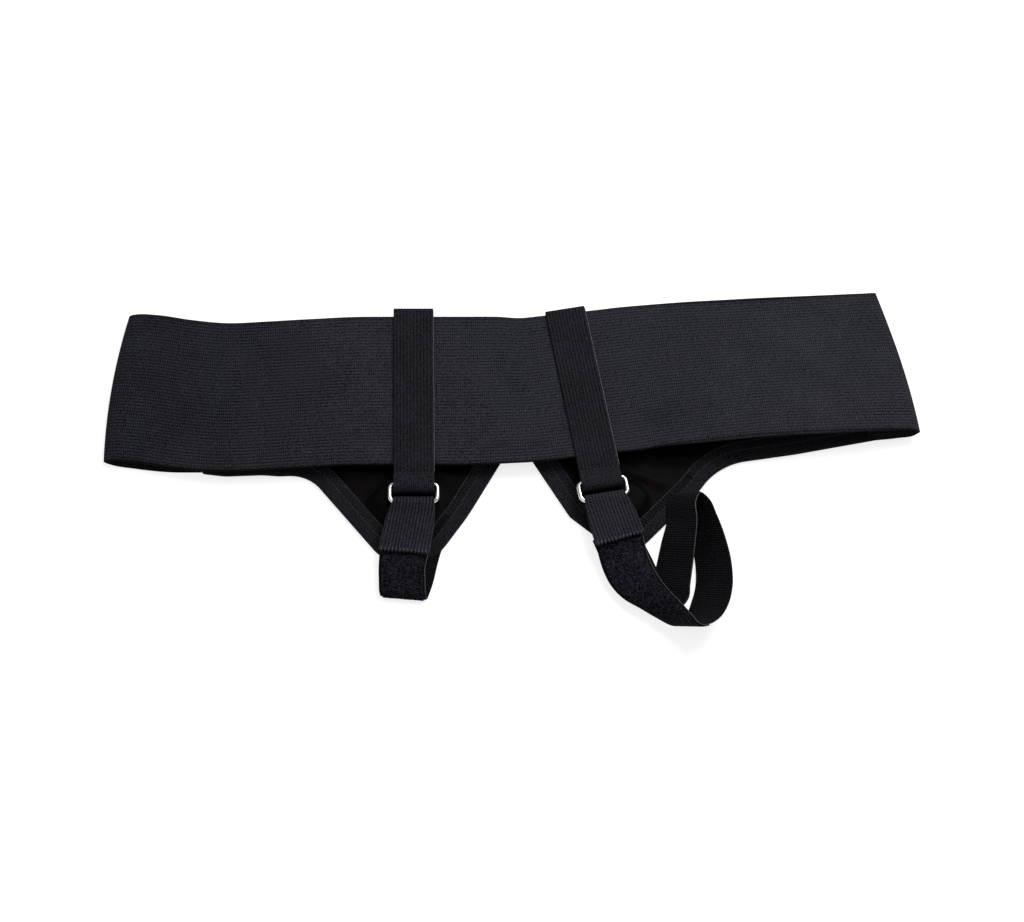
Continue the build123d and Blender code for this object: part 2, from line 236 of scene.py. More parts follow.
def ribbedFinish(name, dark, light, ribPitch, cellPitch, ribTone=0.7, fleck=2.0, step=0.5, selvedge=0.0, lint=0.0,
                 ribShare=0.5, patch=0.35, dense=0.0):
    # lengthwise ribs crossed by short cells that step part of a cell from rib to rib, with flecked yarn
    cloth = Finish(name)
    across, along = cloth.weave()
    rib = across / ribPitch
    ridge = rib.wave()
    cell = (along / cellPitch + rib.math("FLOOR") * step).wave()
    fuzz = cloth.grain(0.62)
    worn = cloth.grain(22.0)
    height = ridge * ribShare + cell * ridge * (1 - ribShare)
    amount = (height - 0.4 - ribShare * 0.1) * ribTone + 0.4 + (fuzz - 0.5) * fleck + (worn - 0.5) * patch
    if dense:
        # painted shade: darker over the elastic's first stretch, through the fold at its left end, fading out
        # further along
        amount = amount - (1 - ((along - 70.0) / 150.0).bounded()) * dense
    # darker in a narrow strip along both long edges, past the given distance from the middle
    if selvedge:
        amount = amount - across.math("ABSOLUTE").math("GREATER_THAN", selvedge) * 0.22
    colour = cloth.tint(amount.bounded(), blackish(dark), blackish(light))
    if lint:
        colour = cloth.over(cloth.specks(lint, 0.28), colour, (0.2, 0.2, 0.2))
    return cloth.surface(colour, height * ribTone + (fuzz - 0.5) * 0.5, depth=0.0003, sheen=0.02, specular=0.06)


def dottedFinish(name, dark, light, pitch):
    # small knit cells in rows that step half a cell
    cloth = Finish(name)
    across, along = cloth.weave()
    fuzz = cloth.grain(0.7)
    row = along / pitch
    height = (across / pitch + row.math("FLOOR") * 0.5).wave() * row.wave()
    amount = ((height - 0.4) * 1.2 + (fuzz - 0.5) * 2.0 + 0.12).bounded()
    colour = cloth.tint(amount, blackish(dark, 1.4), blackish(light, 1.35))
    return cloth.surface(colour, height, depth=0.00035, sheen=0.02, specular=0.05)


def pileFinish(name, dark, light):
    # brushed loops, a little reddish where they lie flat
    cloth = Finish(name)
    loops = cloth.grain(0.8, 4.0)
    tufts = cloth.grain(2.4)
    amount = ((loops - 0.5) * 5.0 + (tufts - 0.5) * 1.6 + 0.34).bounded()
    worn = ((cloth.grain(9.0, 1.0) - 0.56) * 6.0).bounded() * 0.35
    colour = cloth.over(worn, cloth.tint(amount, blackish(dark, 1.6), blackish(light, 1.45)), (0.013, 0.006, 0.013))
    return cloth.surface(colour, loops + tufts * 0.6, depth=0.0011, sheen=0.02, specular=0.03)


def smoothFinish(name, dark, light, patch=14.0):
    # fine plain cloth, with painted wine-red reflections in patches here and there
    cloth = Finish(name)
    fine = cloth.grain(0.5)
    soft = cloth.grain(patch, 3.0)
    amount = ((soft - 0.35) * 1.4 + (fine - 0.5) * 0.5).bounded()
    wineReflection = ((cloth.grain(patch * 0.7, 1.0) - 0.55) * 7.0).bounded() * 0.6
    plain = cloth.tint(amount, blackish(dark), blackish(light))
    colour = cloth.over(wineReflection, plain, (light * 1.6, light * 0.55, light))
    return cloth.surface(colour, fine, depth=0.00012, roughness=0.55, specular=0.04)


def hookFinish(name, dark, light, pitch, rowPitch):
    # rows of short stiff hooks
    hooks = Finish(name)
    across, along = hooks.weave()
    height = (across / pitch).wave() * (along / rowPitch).wave()
    colour = hooks.tint(height, blackish(dark), blackish(light))
    return hooks.surface(colour, height, depth=0.0006, roughness=0.5, specular=0.4)


def threadFinish(name, dark, light):
    thread = Finish(name)
    twist = thread.grain(0.9)
    amount = ((twist - 0.5) * 2.4 + 0.5).bounded()
    return thread.surface(thread.tint(amount, dark, light), twist, depth=0.0001, roughness=0.7, specular=0.3)


def metalFinish(name, dark, light):
    metal = Finish(name)
    smear = metal.grain(6.0, 3.0)
    fine = metal.grain(0.8)
    return metal.surface(metal.tint(smear, dark, light), fine, depth=0.00002, roughness=smear * 0.12 + 0.12,
                         specular=0.5, metal=1.0)


finishes = {
    # the elastic's last setting is painted shade, darker towards its left end
    "elastic": ribbedFinish("elasticWeave", dark=0.0025, light=0.052, ribPitch=2.12, cellPitch=1.36, ribTone=0.62,
                            fleck=2.1, step=0.0, selvedge=49.6, lint=22.0, ribShare=0.2, patch=0.25, dense=0.13),
    "webbing": ribbedFinish("loopWebbing", dark=0.0010, light=0.028, ribPitch=2.1, cellPitch=1.1, ribTone=0.6,
                            fleck=2.6, ribShare=0.6),
    "twill": ribbedFinish("loopWebbingBack", dark=0.0010, light=0.033, ribPitch=1.3, cellPitch=0.9, ribTone=0.55,
                          fleck=3.0, ribShare=0.3),
    "strapRib": ribbedFinish("strapRib", dark=0.0012, light=0.044, ribPitch=2.0, cellPitch=1.5, ribTone=0.75),
    "strapKnit": dottedFinish("strapKnit", dark=0.0008, light=0.022, pitch=1.55),
    "pile": pileFinish("strapPile", dark=0.0010, light=0.028),
    "lining": smoothFinish("panelLining", dark=0.0009, light=0.0036),
    "shell": pileFinish("panelShell", dark=0.0025, light=0.016),
    "binding": ribbedFinish("edgeBinding", dark=0.0016, light=0.028, ribPitch=1.4, cellPitch=1.1),
    "foam": smoothFinish("padFoam", dark=0.02, light=0.05),
    "hook": hookFinish("hookTape", dark=0.004, light=0.02, pitch=1.0, rowPitch=1.3),
    "zigThread": threadFinish("zigzagThread", dark=(0.012, 0.012, 0.016), light=(0.075, 0.077, 0.095)),
    "thread": threadFinish("blackThread", dark=(0.010, 0.010, 0.013), light=(0.040, 0.041, 0.050)),
    # next: a grey thread for the overlock stitches, also used as painted highlight down the left leg strap's right
    # edge, and a light cord that is only painted highlight down the right edges of the loops and the right leg
    # strap
    "greyThread": threadFinish("overlockThread", dark=(0.04, 0.041, 0.05), light=(0.13, 0.132, 0.15)),
    "edgeThread": threadFinish("cutEdge", dark=(0.03, 0.03, 0.037), light=(0.15, 0.15, 0.165)),
    "metal": metalFinish("polishedWire", dark=(0.86, 0.86, 0.87), light=(0.95, 0.95, 0.96)),
}
print("finishes made")


# Cloth bands and tubes

def easeThrough(stations, spacing):
    # an even, smooth run of stations through the given ones: all their numbers are eased alike
    gaps = [max(hypot(*(b[i] - a[i] for i in range(3))), 1e-6) for a, b in zip(stations, stations[1:])]
    last = len(stations) - 1
    slopes = []
    for index, here in enumerate(stations):
        before, after = gaps[max(index - 1, 0)], gaps[min(index, last - 1)]
        arrive = [(h - l) / before for l, h in zip(stations[max(index - 1, 0)], here)]
        leave = [(r - h) / after for h, r in zip(here, stations[min(index + 1, last)])]
        share = after / (before + after)
        if 0 < index < last:
            slopes.append([a * share + b * (1 - share) for a, b in zip(arrive, leave)])
        else:
            slopes.append(arrive if index else leave)
    result = []
    for index, gap in enumerate(gaps):
        a, b = stations[index], stations[index + 1]
        count = max(1, round(gap / spacing))
        for step in range(count):
            t = step / count
            result.append(tuple(
                (2 * t**3 - 3 * t**2 + 1) * p + (t**3 - 2 * t**2 + t) * gap * m
                + (3 * t**2 - 2 * t**3) * q + (t**3 - t**2) * gap * n
                for p, q, m, n in zip(a, b, slopes[index], slopes[index + 1])))
    result.append(tuple(stations[-1]))
    return result


class Row:
    # one section of a band: its middle, its width direction, and its outward direction
    def __init__(self, centre, across, width):
        self.centre = centre
        self.across = across
        self.width = width

    def widened(self, change):
        other = Row(self.centre, self.across, self.width + change)
        other.outward, other.length = self.outward, self.length
        return other

    def edge(self, side, inset, rise):
        # a place near one edge of the section, for a thread
        return self.centre + self.across * (side * (self.width / 2 - inset)) + self.outward * rise


def finishRows(rows):
    length = 0.0
    for index, row in enumerate(rows):
        before, after = rows[max(index - 1, 0)], rows[min(index + 1, len(rows) - 1)]
        ahead = after.centre - before.centre
        ahead = (ahead - row.across * ahead.dot(row.across)).normalized()
        row.outward = row.across.cross(ahead)
        if index:
            length += (row.centre - rows[index - 1].centre).length
        row.length = length
    return rows


def layRows(stations, spacing):
    # each station is a place, a turn and a tilt of the width, and the width
    return finishRows([Row(place(x, y, max(z, layout["lowest"])), heading(turn, tilt), width / 1000)
                       for x, y, z, turn, tilt, width in easeThrough(stations, spacing)])


class Piece:
    # points, faces and weave places gathered for one object
    def __init__(self):
        self.points, self.weave, self.faces, self.slots = [], [], [], []

    def span(self, a, b, slots, turned=False):
        # faces between two closed loops of points, which start at a and b
        size = len(slots)
        for k in range(size):
            n = (k + 1) % size
            self.faces.append((a + k, b + k, b + n, a + n) if turned else (a + k, a + n, b + n, b + k))
        self.slots += slots

    def cap(self, start, size, slot=0, turned=False):
        face = range(start, start + size)
        self.faces.append(tuple(reversed(face)) if turned else tuple(face))
        self.slots.append(slot)

    def band(self, rows, width, thick, outer=None, inner=None, sag=None, slots=(0, 0), pitch=0.0006, lift=0.0,
             caps=(True, True)):
        # a flat band with rounded edges, of one usual width that each row may change a little.
        # outer and inner add relief, by place across, place along and the row's width
        half = thick / 2
        count = max(4, round(width / pitch))
        edge = half / (width / 2)
        section = [(-1, 0.0), (-1 + edge * 0.13, 0.5), (-1 + edge * 0.5, 0.87)]
        section += [((-1 + 2 * i / count) * (1 - edge), 1.0) for i in range(count + 1)]
        section += [(1 - edge * 0.5, 0.87), (1 - edge * 0.13, 0.5), (1, 0.0)]
        last = len(section) - 1
        first = len(self.points)
        loop = 2 * last
        for row in rows:
            sides = []
            for side, relief in ((1, outer), (-1, inner)):
                line = []
                for share, full in section:
                    across = share * row.width / 2
                    rise = half * full
                    if relief and full:
                        rise += relief(across, row.length, row.width) * full
                    middle = lift + (sag(across, row.length) if sag else 0.0)
                    line.append(row.centre + row.across * across + row.outward * (middle + side * rise))
                sides.append(line)
            self.points += sides[0] + sides[1][last - 1:0:-1]
            places = [(share * row.width / 2, row.length) for share, _ in section]
            self.weave += places + places[last - 1:0:-1]
        for index in range(len(rows) - 1):
            start = first + index * loop
            self.span(start, start + loop, [slots[0]] * last + [slots[1]] * last)
        for isEnd, start in ((False, first), (True, first + (len(rows) - 1) * loop)):
            if not caps[isEnd]:
                continue
            for k in range(last):
                under = [start + (loop - j) % loop for j in (k, k + 1)]
                face = list(dict.fromkeys([start + k, *under, start + k + 1]))
                self.faces.append(tuple(face[::-1] if isEnd else face))
                self.slots.append(slots[0])

    def tube(self, path, radius, slot=0, sides=6):
        # a thread through the points, with flat ends
        first = len(self.points)
        for index, spot in enumerate(path):
            ahead = (path[min(index + 1, len(path) - 1)] - path[max(index - 1, 0)]).normalized()
            side = ahead.cross(Vector((0, 0, 1)))
            side = side.normalized() if side.length > 0.05 else Vector((1, 0, 0))
            up = side.cross(ahead)
            for k in range(sides):
                angle = 2 * pi * k / sides
                self.points.append(spot + side * (cos(angle) * radius) + up * (sin(angle) * radius))
                self.weave.append((k * radius, index * radius))
        end = first + (len(path) - 1) * sides
        for start in range(first, end, sides):
            self.span(start, start + sides, [slot] * sides, turned=True)
        self.cap(first, sides, slot)
        self.cap(end, sides, slot, turned=True)

    def make(self, name, *materials):
        mesh = bpy.data.meshes.new(name)
        mesh.from_pydata([tuple(p) for p in self.points], [], self.faces)
        for material in materials:
            mesh.materials.append(material)
        mesh.polygons.foreach_set("material_index", self.slots)
        layer = mesh.uv_layers.new(name="weave")
        for loop in mesh.loops:
            layer.data[loop.index].uv = self.weave[loop.vertex_index]
        mesh.polygons.foreach_set("use_smooth", [True] * len(mesh.polygons))
        mesh.update()
        mesh.set_sharp_from_angle(angle=radians(50))
        return addObject(name, mesh)


def fit(piece, body, slot, *nodes):
    # the piece stands for its solids and rides on the body; the slot is not used
    if nodes:
        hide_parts(*nodes)
    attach(piece, body)


def ribs(count, height):
    # lengthwise ribs that spread as the band widens
    return lambda across, along, width: height * abs(sin(pi * count * (across / width + 0.5)))


# Waist elastic. Each station is x, y, z, the turn and tilt of the width, and the width where it isn't the usual one

elastic = {
    "width": 102.4, "thick": 1.4, "ribPitch": 2.12, "ribHeight": 0.00005, "spacing": 2.2, "pitch": 0.00046,
    "leftBow": 0.0032, "leftBowFrom": 0.212, "rightBow": 0.0022, "rightBowFrom": 0.205, "bowReach": 0.03,
    "quiet": (0.244, 0.351), "quietHalf": 0.03, "quietStart": 0.07, "sag": 0.0008, "sagReach": 0.04,
    "seam": (4.0, 7.5), "seamAt": (214, 62.8, 4.75), "seamTurn": -81, "seamHalf": 0.0455, "zig": 0.7, "zigs": 60,
    "thread": 0.00025,
    "stations": [
        (-192, 43.0, 0.78, -90, 0), (-212, 43.3, 0.80, -92, 0), (-230, 45.5, 0.9, -94.5, 0),
        (-242.8, 47.6, 1.5, -95.6, 0), (-247.0, 48.6, 3.1, -95.6, 0), (-242.8, 48.6, 4.9, -95.6, 0),
        (-230, 47.7, 5.8, -95.4, 0), (-206, 43.2, 7.4, -94, 0), (-181, 40.1, 8.9, -91, 0),
        (-156, 40.5, 9.9, -90, 0), (-128, 42.0, 10.5, -90, 0), (-100, 43.5, 10.75, -90, 0),
        (-76, 43.7, 10.75, -90, 0), (-50, 43.7, 10.75, -90, 0), (-27, 43.7, 10.75, -90, 0),
        (-7, 44.5, 10.2, -87, 1.2), (14, 45.5, 9.2, -83, 3), (21, 46.36, 9.2, -83, 3),
        (42.8, 49.04, 9.2, -83, 3), (64, 51.64, 9.2, -83, 3), (71.6, 52.6, 9.2, -83, 3, 102.6),
        (90, 54.9, 9.8, -84, 5, 103), (110, 56.4, 10.7, -85, 7, 104.4), (144, 58.7, 11.5, -86, 8.5, 105.4),
        (184, 61.4, 11.4, -85, 8.5, 104.8), (212, 63.5, 10.4, -81.5, 7.5, 103.6), (231, 64.9, 9.0, -79, 5.5),
        (239.8, 65.5, 7.4, -78, 4), (241.8, 65.7, 5.8, -78, 2.5), (239.4, 65.3, 4.4, -78.3, 0.8),
        (231, 64.4, 3.7, -79, 0), (214, 62.6, 3.65, -81, 0),
    ],
}


def makeElastic():
    width = elastic["width"] / 1000
    rows = layRows([s if len(s) > 5 else (*s, elastic["width"]) for s in elastic["stations"]], elastic["spacing"])
    ridge = ribs(round(elastic["width"] / elastic["ribPitch"]), elastic["ribHeight"])

    def sag(across, along):
        # the cloth lies quiet under the two loops and at its start, and ripples between them
        away = min(*(abs(along - middle) - elastic["quietHalf"] for middle in elastic["quiet"]),
                   along - elastic["quietStart"])
        share = min(max(away / elastic["sagReach"], 0.0), 1.0)
        return share * elastic["sag"] * noise.noise(Vector((across * 12, along * 22, 3.7)))

    body = Piece()
    body.band(rows, width, elastic["thick"] / 1000, ridge, ridge, sag, pitch=elastic["pitch"])
    for spot, (across, _) in zip(body.points, body.weave):
        # the folds at the two ends bow outward between the edges
        belly = 1 - (2 * across / width)**2
        spot.x -= elastic["leftBow"] * belly * eased((-spot.x - elastic["leftBowFrom"]) / elastic["bowReach"])
        spot.x += elastic["rightBow"] * belly * eased((spot.x - elastic["rightBowFrom"]) / elastic["bowReach"])
    band = body.make("waistElastic", finishes["elastic"])
    fit(band, "belt", "elastic", "waist_elastic")

    seam = Piece()
    x, y, z = elastic["seamAt"]
    half, zigs = elastic["seamHalf"], elastic["zigs"]
    way = heading(elastic["seamTurn"])
    for offset in elastic["seam"]:
        path = []
        for step in range(zigs + 1):
            zig = elastic["zig"] if step % 2 else -elastic["zig"]
            path.append(place(x + offset + zig, y, z) + way * (-half + 2 * half * step / zigs))
        seam.tube(path, elastic["thread"])
    fit(seam.make("elasticEndSeam", finishes["thread"]), "belt", "thread")


makeElastic()
print("elastic made")


# Outlines with rounded corners, and blocks made from them

def rectangle(low, high, corner, inset=0.0):
    # corners for insetRing
    left, right, lower, upper = low[0] + inset, high[0] - inset, low[1] + inset, high[1] - inset
    return [(left, upper, corner), (left, lower, corner), (right, lower, corner), (right, upper, corner)]


def insetRing(corners, depth, pitch=2.5):
    # points round a polygon with rounded corners, moved inward by depth: the same number at every depth
    count = len(corners)
    edges = []
    for index in range(count):
        a, b = Vector(corners[index][:2]), Vector(corners[(index + 1) % count][:2])
        along = (b - a).normalized()
        edges.append((a, b, along, Vector((-along.y, along.x))))
    arcs = []
    for index, (x, y, radius) in enumerate(corners):
        _, _, come, comeIn = edges[index - 1]
        _, _, go, goIn = edges[index]
        turn = come.angle_signed(go) * -1
        way = 1 if turn > 0 else -1
        bend = max(radius - way * depth, 0.2)
        tip = Vector((x, y)) + (comeIn + goIn) * (depth / (1 + comeIn.dot(goIn)))
        start = tip - come * (bend * tan(abs(turn) / 2))
        centre = start + comeIn * (bend * way)
        steps = max(2, round(abs(turn) * radius / pitch))
        arm = start - centre
        arcs.append([centre + Vector((arm.x * cos(turn * k / steps) - arm.y * sin(turn * k / steps),
                                      arm.x * sin(turn * k / steps) + arm.y * cos(turn * k / steps)))
                     for k in range(steps + 1)])
    ring = []
    for index, arc in enumerate(arcs):
        ring += arc
        following = arcs[(index + 1) % count][0]
        a, b = edges[index][0], edges[index][1]
        steps = max(1, round((b - a).length / pitch))
        ring += [arc[-1].lerp(following, k / steps) for k in range(1, steps)]
    return [(p.x, p.y) for p in ring]


def stackRings(piece, corners, levels, pitch):
    # a closed block through one rounded outline, at an inset and a height for each level
    first = len(piece.points)
    for depth, z in levels:
        ring = insetRing(corners, depth, pitch)
        piece.points += [place(x, y, z) for x, y in ring]
        piece.weave += [(x / 1000, y / 1000) for x, y in ring]
    size = len(ring)
    end = first + (len(levels) - 1) * size
    for start in range(first, end, size):
        piece.span(start, start + size, [0] * size)
    piece.cap(first, size, turned=True)
    piece.cap(end, size)


def roundedPlate(name, finish, corners, bottom, top, pitch=1.5):
    # a flat plate with rounded corners and a softened rim
    plate = Piece()
    levels = [(0.35, bottom), (0.0, bottom + 0.25), (0.0, top - 0.3), (0.4, top), (2.0, top)]
    stackRings(plate, corners, levels, pitch)
    return plate.make(name, finish)


# Closure at the left end: a tab with a hook patch under the panel

closure = {"start": -191.7, "length": 32.0, "middle": 43.0, "height": 90.0, "bottom": 0.05, "top": 1.5,
           "corner": 6.0, "inset": 4.0, "hookBottom": 1.45, "hookTop": 2.35,
           "seamInset": 1.6, "seamPitch": 2.4, "seamLevel": 0.06, "thread": 0.00016}


def makeClosure():
    low = (closure["start"], closure["middle"] - closure["height"] / 2)
    high = (closure["start"] + closure["length"], closure["middle"] + closure["height"] / 2)
    inset = closure["inset"]
    inner = rectangle(low, high, inset, inset)
    tab = roundedPlate("closureTab", finishes["elastic"], rectangle(low, high, closure["corner"]),
                       closure["bottom"], closure["top"])
    fit(tab, "closure", "elastic", "closure_tab")
    patch = roundedPlate("closureHookPatch", finishes["hook"], inner, closure["hookBottom"], closure["hookTop"])
    fit(patch, "closure", "hook", "closure_hook")
    seam = Piece()
    ring = insetRing(inner, closure["seamInset"], closure["seamPitch"])
    for (x0, y0), (x1, y1) in zip(ring, ring[1:] + ring[:1]):
        a, b = place(x0, y0, closure["seamLevel"]), place(x1, y1, closure["seamLevel"])
        dip = a.lerp(b, 0.5) - Vector((0, 0, 0.00002))
        seam.tube([a.lerp(b, 0.15), dip, a.lerp(b, 0.85)], closure["thread"], sides=5)
    fit(seam.make("closureSeam", finishes["thread"]), "closure", "thread")


makeClosure()
print("closure made")


# Padded front panels. Corners have a radius, and each fold is a line with its reach and height

panels = {
    "left": {
        "outline": [(-189, 86, 3), (-191.6, -10.6, 2), (-177, -12.4, 40), (-126.0, -10.4, 24), (-79.0, -66.6, 18),
                    (-47.5, -67.5, 20), (-27.0, -37.8, 150), (-3.5, 4, 8), (-9, 86, 3)],
        "pad": [(-99, -18, 12), (-73, -49, 9), (-57.5, -49, 10), (-36, -18, 12)],
        "anchor": ((-55.0, -50.0), (-58.8, -65.0)), "lap": True,
        "folds": [((-112, -6), (-74, -12), 7, 1.6), ((-70, -4), (-30, -14), 6, 1.4), ((-104, 4), (-40, 2), 6, 1.5),
                  ((-84, -30), (-70, -44), 4, 0.8), ((-44, -26), (-52, -46), 4, 0.8)],
    },
    "right": {
        "outline": [(11, 88, 3), (10, 3, 8), (35.4, -38.4, 10), (52, -52.2, 20), (60, -60.2, 10), (77.2, -60.8, 18),
                    (115, -21.8, 60), (128, -3.5, 40), (175, 3.6, 200), (247.5, 17.6, 4), (229, 104, 4),
                    (110, 94, 60)],
        "pad": [(41, -17.5, 10), (62.5, -42, 9), (75.8, -42, 9), (98, -16.5, 12)],
        "anchor": ((62.6, -48.5), (69.0, -64.0)), "lap": False,
        "folds": [((66, -6), (104, -20), 5, 1.9), ((70, 4), (124, -2), 6, 1.7), ((28, 0), (46, -22), 5, 1.2),
                  ((84, -30), (98, -26), 4, 1.1), ((24, -14), (40, -34), 4, 1.0)],
    },
}
cloths = {
    "shell": 1.2, "shellInset": 11.5, "shellPitch": 3.4, "shellUnder": 0.28,
    "stack": 2.2, "linerInset": 12.6, "linerPitch": 2.6, "linerReach": 9.0, "linerLift": 0.12, "drape": 0.72,
    "padCover": 0.6, "lapTop": -156.0, "lapEnd": -142.0, "lapRise": 2.7, "seatTop": 1.85, "seatHalf": 15.2,
}
padFoam = {
    "levels": [(4.0, 1.35), (1.2, 1.4), (0.4, 2.2), (0.6, 3.6), (1.8, 4.8), (3.6, 5.5), (6.0, 5.8)],
    "pitch": 2.0, "voxel": 0.0016, "pressure": 4.0, "frames": 12, "limit": 0.0012, "low": 0.00128, "high": 0.0060,
}
tape = {"thick": 0.6, "width": 14.0, "ribPitch": 1.4, "ribHeight": 0.16, "ribsFrom": 1.3,
        "zigRise": 0.14, "zigThread": 0.0003, "edgeThread": 0.00018}


def lapLift(panel, x):
    # the left panel's end lies on the closure tab
    if not panel["lap"]:
        return 0.0
    return cloths["lapRise"] * (1 - eased((x - cloths["lapTop"]) / (cloths["lapEnd"] - cloths["lapTop"])))


def seated(level, panel, x, y, seat):
    # the level, raised to the seat over the sewn strap end under the panel's tip
    inner, outer = (Vector(p) for p in panel["anchor"])
    along = (outer - inner).normalized()
    reach = Vector((x, y)) - inner
    side = abs(reach.x * along.y - reach.y * along.x)
    share = eased((cloths["seatHalf"] - side) / 1.0 + 1) * eased((reach.dot(along) + 3.0) / 2.0)
    return level + (seat - level) * share


def insideRing(ring, x, y):
    inside = False
    for (x0, y0), (x1, y1) in zip(ring, ring[1:] + ring[:1]):
        if (y0 > y) != (y1 > y) and x < (x1 - x0) * (y - y0) / (y1 - y0) + x0:
            inside = not inside
    return inside


def clothSheet(name, finish, ring, spacing, topAt, bottomAt):
    # a closed thin cloth over the ring's inside, with its own height above and below
    xs, ys = [x for x, _ in ring], [y for _, y in ring]
    spots = [Vector(p) for p in ring]
    edges = [(k, (k + 1) % len(ring)) for k in range(len(ring))]
    row = 0
    y = min(ys)
    while y < max(ys):
        x = min(xs) + (spacing / 2 if row % 2 else 0)
        while x < max(xs):
            if insideRing(ring, x, y) and min(hypot(x - p, y - q) for p, q in ring) > spacing * 0.7:
                spots.append(Vector((x, y)))
            x += spacing
        y += spacing * 0.87
        row += 1
    flat, _, faces, _, _, _ = delaunay_2d_cdt(spots, edges, [], 1, 1e-5)
    count = len(flat)
    sheet = Piece()
    for heightAt in (topAt, bottomAt):
        sheet.points += [place(spot.x, spot.y, heightAt(spot.x, spot.y)) for spot in flat]
        sheet.weave += [(spot.x / 1000, spot.y / 1000) for spot in flat]
    for face in faces:
        a, b, c = (flat[k] for k in face)
        if (b - a).cross(c - a) < 0:
            face = face[::-1]
        sheet.faces += [tuple(face), tuple(count + k for k in face[::-1])]
    sheet.faces += [(n, k, count + k, count + n) for k, n in edges]
    sheet.slots = [0] * len(sheet.faces)
    return sheet.make(name, finish)


def cutSize(ring):
    # the cut of a flat cloth: the sides of its rectangle and its own area, in metres
    xs, ys = [x for x, _ in ring], [y for _, y in ring]
    area = sum(x0 * y1 - x1 * y0 for (x0, y0), (x1, y1) in zip(ring, ring[1:] + ring[:1])) / 2
    return ((max(xs) - min(xs)) / 1000, (max(ys) - min(ys)) / 1000), abs(area) / 1e6


def groinPad(side, panel):
    # foam pad under the lining: a closed block that is swollen a little by a cloth simulation
    block = Piece()
    stackRings(block, panel["pad"], padFoam["levels"], padFoam["pitch"])
    pad = block.make(f"{side}GroinPad", finishes["foam"])
    bpy.context.view_layer.objects.active = pad
    pad.select_set(True)
    remesh = pad.modifiers.new("evenMesh", "REMESH")
    remesh.mode = "VOXEL"
    remesh.voxel_size = padFoam["voxel"]
    bpy.ops.object.modifier_apply(modifier=remesh.name)
    swell(pad)
    pad.data.polygons.foreach_set("use_smooth", [True] * len(pad.data.polygons))
    fit(pad, "belt", "foam", f"{side}_pad_foam")
    return pad


def swell(pad):
    # air pressure rounds the block, and no point moves further than the limit
    start = [v.co.copy() for v in pad.data.vertices]
    cloth = pad.modifiers.new("swell", "CLOTH")
    cloth.settings.use_pressure = True
    cloth.settings.uniform_pressure_force = padFoam["pressure"]
    cloth.settings.effector_weights.gravity = 0.0
    cloth.settings.quality = 4
    scene = bpy.context.scene
    for step in range(1, padFoam["frames"] + 1):
        scene.frame_set(step)
    shaped = pad.evaluated_get(bpy.context.evaluated_depsgraph_get())
    ended = [v.co.copy() for v in shaped.data.vertices]
    pad.modifiers.remove(cloth)
    scene.frame_set(1)
    for vertex, a, b in zip(pad.data.vertices, start, ended):
        move = b - a
        if move.length > padFoam["limit"]:
            move *= padFoam["limit"] / move.length
        vertex.co = a + move
        vertex.co.z = min(max(vertex.co.z, padFoam["low"]), padFoam["high"])


def makePanel(side):
    panel = panels[side]
    padShape = BVHTree.FromObject(groinPad(side, panel), bpy.context.evaluated_depsgraph_get())

    def padTop(x, y):
        hit = padShape.ray_cast(place(x, y, 40), Vector((0, 0, -1)))[0]
        return hit.z * 1000 if hit else 0.0

    def fold(x, y):
        # soft creases, each along its own line
        total = 0.0
        for (x0, y0), (x1, y1), reach, height in panel["folds"]:
            line = Vector((x1 - x0, y1 - y0))
            spot = Vector((x - x0, y - y0))
            t = min(max(spot.dot(line) / line.length_squared, 0.0), 1.0)
            away = (spot - line * t).length
            fade = sin(pi * (0.12 + 0.76 * t))
            total += height * fade * exp(-(away / reach * 1.6)**2)
        return total

    def draped(x, y):
        # the lining spans from the pad down to the shell
        near = [padTop(x + dx, y + dy) for dx, dy in
                ((0, 0), (2.5, 0), (-2.5, 0), (0, 2.5), (0, -2.5), (4.5, 0), (-4.5, 0), (0, 4.5), (0, -4.5))]
        lifted = (near[0] * 3 + sum(near[1:5]) * 1.2 + sum(near[5:]) * 0.8) / 11.0
        covered = max(near[:5]) + cloths["padCover"]
        hide = 0.25 * noise.noise(Vector((x, y, 5.0)) * 0.11) + 0.1 * noise.noise(Vector((x, y, 9.0)) * 0.35)
        creased = max(fold(x, y) * (0.5 if near[0] else 1.0) + hide, 0.0)
        return max(cloths["stack"] + lifted * cloths["drape"], covered) + creased

    linerRing = insetRing(panel["outline"], cloths["linerInset"])

    def linerTop(x, y):
        away = min(hypot(x - p, y - q) for p, q in linerRing)
        edge = eased(away / cloths["linerReach"])
        level = cloths["stack"] * (1 - edge) + draped(x, y) * edge
        return max(level, padTop(x, y) + 0.5 if away > 1 else 0.0) + lapLift(panel, x) + cloths["linerLift"]

    def linerBottom(x, y):
        return seated(cloths["shell"] + 0.05 + lapLift(panel, x), panel, x, y, cloths["seatTop"] + 0.15)

    liner = clothSheet(f"{side}PanelLining", finishes["lining"], linerRing, cloths["linerPitch"],
                       linerTop, linerBottom)
    fit(liner, "belt", "lining", f"{side}_panel_lining")
    size, area = cutSize(linerRing)

    shellRing = insetRing(panel["outline"], cloths["shellInset"])

    def shellTop(x, y):
        return seated(cloths["shell"] - 0.05 + lapLift(panel, x), panel, x, y, cloths["seatTop"] + 0.1)

    def shellBottom(x, y):
        wave = 0.1 * noise.noise(Vector((x, y, 1.0)) * 0.08)
        return seated(cloths["shellUnder"] + wave + lapLift(panel, x), panel, x, y, cloths["seatTop"])

    shell = clothSheet(f"{side}PanelShell", finishes["shell"], shellRing, cloths["shellPitch"],
                       shellTop, shellBottom)
    fit(shell, "belt", "shell", f"{side}_panel_shell")
    size, area = cutSize(shellRing)
    makeBinding(side, panel)


